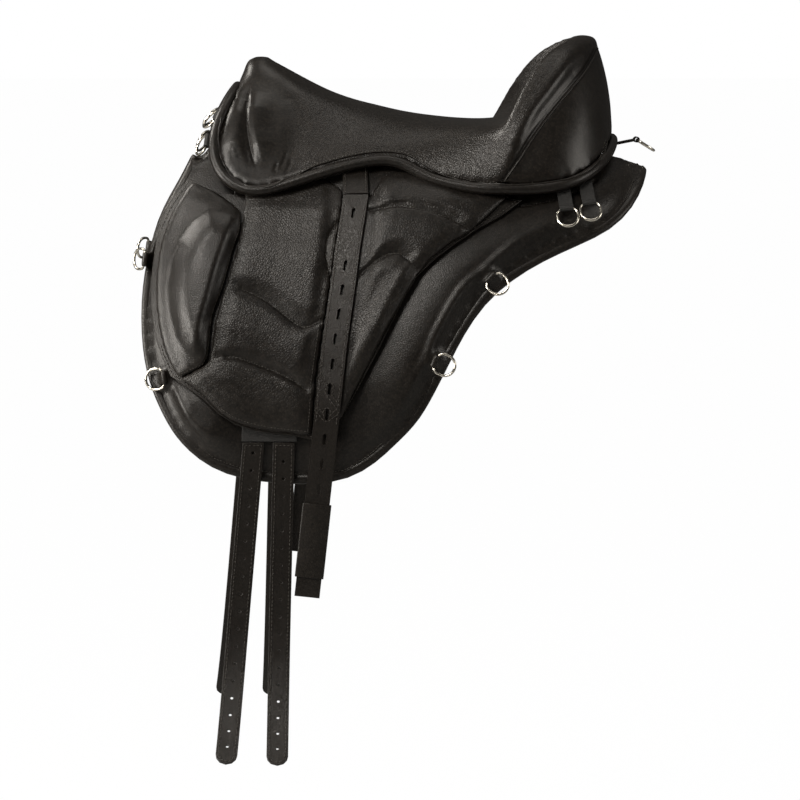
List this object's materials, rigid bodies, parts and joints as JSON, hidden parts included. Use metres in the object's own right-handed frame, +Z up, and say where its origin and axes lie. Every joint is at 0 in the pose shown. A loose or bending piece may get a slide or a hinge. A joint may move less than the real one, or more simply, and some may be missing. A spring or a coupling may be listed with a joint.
{
  "type": "endurance saddle",
  "caption": "Endurance riding saddle with deep padded seat, stuffed panels, lifting quilted flaps, knee blocks, long girth billets, slotted stirrup leathers and tie rings.",
  "frame": {"origin": "middle plane of the saddle, at the height of the stirrup leathers' hinge line under the skirt and about midway between the pommel and the cantle", "axes": "+Z up, the longest extent with the billets hanging; +Y to the horse's right, the shortest extent; -X towards the pommel"},
  "size_m": [0.623, 0.5442, 0.8364],
  "materials": {
    "grain": "pebbled, satin",
    "smooth": "smooth, satin",
    "strap": "bridle leather, waxed",
    "webbing": "woven, matt",
    "foam": "open foam, matt",
    "tree": "laminated, coated",
    "steel": "brushed",
    "nickel": "polished nickel"
  },
  "bodies": {
    "saddle": {"base_panel_left": "smooth", "base_panel_right": "smooth", "billet_hanger_left": "webbing", "billet_hanger_right": "webbing", "cantle_facing": "smooth", "crupper_strap": "strap", "flap_head_left": "smooth", "flap_head_right": "smooth", "head_plate": "steel", "panel_binding_left": "smooth", "panel_binding_right": "smooth", "seat_cover": "grain", "seat_foam": "foam", "skirt_roll": "smooth", "stirrup_bar_left": "steel", "stirrup_bar_right": "steel", "stirrup_leather_head_left": "strap", "stirrup_leather_head_right": "strap", "tab_cantle_front_left": "webbing", "tab_cantle_front_right": "webbing", "tab_cantle_rear_left": "webbing", "tab_cantle_rear_right": "webbing", "tab_pommel_lower_left": "webbing", "tab_pommel_lower_right": "webbing", "tab_pommel_upper_left": "webbing", "tab_pommel_upper_right": "webbing", "tree": "tree"},
    "flap_lift_left_body": {"flap_left": "smooth", "flap_front_pad_left": "grain", "flap_rear_pad_left": "smooth", "knee_block_left": "smooth"},
    "flap_lift_right_body": {"flap_right": "smooth", "flap_front_pad_right": "grain", "flap_rear_pad_right": "smooth", "knee_block_right": "smooth"},
    "leather_swing_left_body": {"stirrup_leather_left": "strap"},
    "leather_swing_right_body": {"stirrup_leather_right": "strap"},
    "leather_sleeve_left_body": {"leather_sleeve_left": "smooth"},
    "leather_sleeve_right_body": {"leather_sleeve_right": "smooth"},
    "billet_front_swing_left_body": {"billet_front_left": "strap"},
    "billet_front_swing_right_body": {"billet_front_right": "strap"},
    "billet_rear_swing_left_body": {"billet_rear_left": "strap"},
    "billet_rear_swing_right_body": {"billet_rear_right": "strap"},
    "ring_cantle_front_turn_left_body": {"ring_cantle_front_left": "nickel"},
    "ring_cantle_front_turn_right_body": {"ring_cantle_front_right": "nickel"},
    "ring_cantle_rear_turn_left_body": {"ring_cantle_rear_left": "nickel"},
    "ring_cantle_rear_turn_right_body": {"ring_cantle_rear_right": "nickel"},
    "ring_front_upper_turn_left_body": {"ring_front_upper_left": "nickel"},
    "ring_front_upper_turn_right_body": {"ring_front_upper_right": "nickel"},
    "ring_front_lower_turn_left_body": {"ring_front_lower_left": "nickel"},
    "ring_front_lower_turn_right_body": {"ring_front_lower_right": "nickel"},
    "ring_pommel_upper_turn_left_body": {"ring_pommel_upper_left": "nickel"},
    "ring_pommel_upper_turn_right_body": {"ring_pommel_upper_right": "nickel"},
    "ring_pommel_lower_turn_left_body": {"ring_pommel_lower_left": "nickel"},
    "ring_pommel_lower_turn_right_body": {"ring_pommel_lower_right": "nickel"},
    "ring_rear_upper_turn_left_body": {"ring_rear_upper_left": "nickel"},
    "ring_rear_upper_turn_right_body": {"ring_rear_upper_right": "nickel"},
    "ring_rear_lower_turn_left_body": {"ring_rear_lower_left": "nickel"},
    "ring_rear_lower_turn_right_body": {"ring_rear_lower_right": "nickel"},
    "ring_crupper_body": {"ring_crupper": "nickel"}
  },
  "joints": [
    {"name": "flap_lift_left", "type": "hinge", "parent": "saddle", "child": "flap_lift_left_body", "pos_m": [0, -0.142, 0.01], "axis": [-1, 0, 0], "range_deg": [0, 22]},
    {"name": "flap_lift_right", "type": "hinge", "parent": "saddle", "child": "flap_lift_right_body", "pos_m": [0, 0.142, 0.01], "axis": [1, 0, 0], "range_deg": [0, 22]},
    {"name": "leather_swing_left", "type": "hinge", "parent": "flap_lift_left_body", "child": "leather_swing_left_body", "pos_m": [0, -0.14915, 0], "axis": [-1, 0, 0], "range_deg": [0, 75]},
    {"name": "leather_swing_right", "type": "hinge", "parent": "flap_lift_right_body", "child": "leather_swing_right_body", "pos_m": [0, 0.14915, 0], "axis": [1, 0, 0], "range_deg": [0, 75]},
    {"name": "sleeve_slide_left", "type": "slide", "parent": "leather_swing_left_body", "child": "leather_sleeve_left_body", "axis": [-0.1099, 0, -0.9939], "range_m": [-0.015, 0.018]},
    {"name": "sleeve_slide_right", "type": "slide", "parent": "leather_swing_right_body", "child": "leather_sleeve_right_body", "axis": [-0.1099, 0, -0.9939], "range_m": [-0.015, 0.018]},
    {"name": "billet_front_swing_left", "type": "hinge", "parent": "saddle", "child": "billet_front_swing_left_body", "pos_m": [0, -0.19768, -0.283], "axis": [-1, 0, 0], "range_deg": [0, 90]},
    {"name": "billet_front_swing_right", "type": "hinge", "parent": "saddle", "child": "billet_front_swing_right_body", "pos_m": [0, 0.19768, -0.283], "axis": [1, 0, 0], "range_deg": [0, 90]},
    {"name": "billet_rear_swing_left", "type": "hinge", "parent": "saddle", "child": "billet_rear_swing_left_body", "pos_m": [0, -0.19999, -0.283], "axis": [-1, 0, 0], "range_deg": [0, 90]},
    {"name": "billet_rear_swing_right", "type": "hinge", "parent": "saddle", "child": "billet_rear_swing_right_body", "pos_m": [0, 0.19999, -0.283], "axis": [1, 0, 0], "range_deg": [0, 90]},
    {"name": "ring_cantle_front_turn_left", "type": "hinge", "parent": "saddle", "child": "ring_cantle_front_turn_left_body", "pos_m": [0.188, -0.1545, -0.015], "axis": [-0.9949, -0.0017, -0.1012], "range_deg": [-20, 150]},
    {"name": "ring_cantle_front_turn_right", "type": "hinge", "parent": "saddle", "child": "ring_cantle_front_turn_right_body", "pos_m": [0.188, 0.1545, -0.015], "axis": [0.9949, -0.0017, 0.1012], "range_deg": [-20, 150]},
    {"name": "ring_cantle_rear_turn_left", "type": "hinge", "parent": "saddle", "child": "ring_cantle_rear_turn_left_body", "pos_m": [0.215, -0.1475, -0.009], "axis": [-0.9935, -0.0149, -0.1129], "range_deg": [-20, 150]},
    {"name": "ring_cantle_rear_turn_right", "type": "hinge", "parent": "saddle", "child": "ring_cantle_rear_turn_right_body", "pos_m": [0.215, 0.1475, -0.009], "axis": [0.9935, -0.0149, 0.1129], "range_deg": [-20, 150]},
    {"name": "ring_front_upper_turn_left", "type": "hinge", "parent": "saddle", "child": "ring_front_upper_turn_left_body", "pos_m": [-0.30245, -0.13057, -0.07485], "axis": [0.1041, 0.0699, 0.9921], "range_deg": [-25, 150]},
    {"name": "ring_front_upper_turn_right", "type": "hinge", "parent": "saddle", "child": "ring_front_upper_turn_right_body", "pos_m": [-0.30245, 0.13057, -0.07485], "axis": [-0.1041, 0.0699, -0.9921], "range_deg": [-25, 150]},
    {"name": "ring_front_lower_turn_left", "type": "hinge", "parent": "saddle", "child": "ring_front_lower_turn_left_body", "pos_m": [-0.28025, -0.16866, -0.21043], "axis": [-0.1516, 0.101, 0.9833], "range_deg": [0, 150]},
    {"name": "ring_front_lower_turn_right", "type": "hinge", "parent": "saddle", "child": "ring_front_lower_turn_right_body", "pos_m": [-0.28025, 0.16866, -0.21043], "axis": [0.1516, 0.101, -0.9833], "range_deg": [0, 150]},
    {"name": "ring_pommel_upper_turn_left", "type": "hinge", "parent": "saddle", "child": "ring_pommel_upper_turn_left_body", "pos_m": [-0.21779, -0.05874, 0.08992], "axis": [0.3611, 0.6172, 0.6991], "range_deg": [-55, 125]},
    {"name": "ring_pommel_upper_turn_right", "type": "hinge", "parent": "saddle", "child": "ring_pommel_upper_turn_right_body", "pos_m": [-0.21779, 0.05874, 0.08992], "axis": [-0.3611, 0.6172, -0.6991], "range_deg": [-55, 125]},
    {"name": "ring_pommel_lower_turn_left", "type": "hinge", "parent": "saddle", "child": "ring_pommel_lower_turn_left_body", "pos_m": [-0.22961, -0.08263, 0.06118], "axis": [0.1435, 0.5543, 0.8199], "range_deg": [-10, 150]},
    {"name": "ring_pommel_lower_turn_right", "type": "hinge", "parent": "saddle", "child": "ring_pommel_lower_turn_right_body", "pos_m": [-0.22961, 0.08263, 0.06118], "axis": [-0.1435, 0.5543, -0.8199], "range_deg": [-10, 150]},
    {"name": "ring_rear_upper_turn_left", "type": "hinge", "parent": "saddle", "child": "ring_rear_upper_turn_left_body", "pos_m": [0.09778, -0.1837, -0.09387], "axis": [-0.7024, -0.1238, -0.7009], "range_deg": [-35, 150]},
    {"name": "ring_rear_upper_turn_right", "type": "hinge", "parent": "saddle", "child": "ring_rear_upper_turn_right_body", "pos_m": [0.09778, 0.1837, -0.09387], "axis": [0.7024, -0.1238, 0.7009], "range_deg": [-35, 150]},
    {"name": "ring_rear_lower_turn_left", "type": "hinge", "parent": "saddle", "child": "ring_rear_lower_turn_left_body", "pos_m": [0.03209, -0.20865, -0.18906], "axis": [-0.3838, -0.0628, -0.9213], "range_deg": [-35, 150]},
    {"name": "ring_rear_lower_turn_right", "type": "hinge", "parent": "saddle", "child": "ring_rear_lower_turn_right_body", "pos_m": [0.03209, 0.20865, -0.18906], "axis": [0.3838, -0.0628, 0.9213], "range_deg": [-35, 150]},
    {"name": "ring_crupper_turn", "type": "hinge", "parent": "saddle", "child": "ring_crupper_body", "pos_m": [0.283, 0, 0.06], "axis": [0, -1, 0], "range_deg": [-110, 150]}
  ]
}
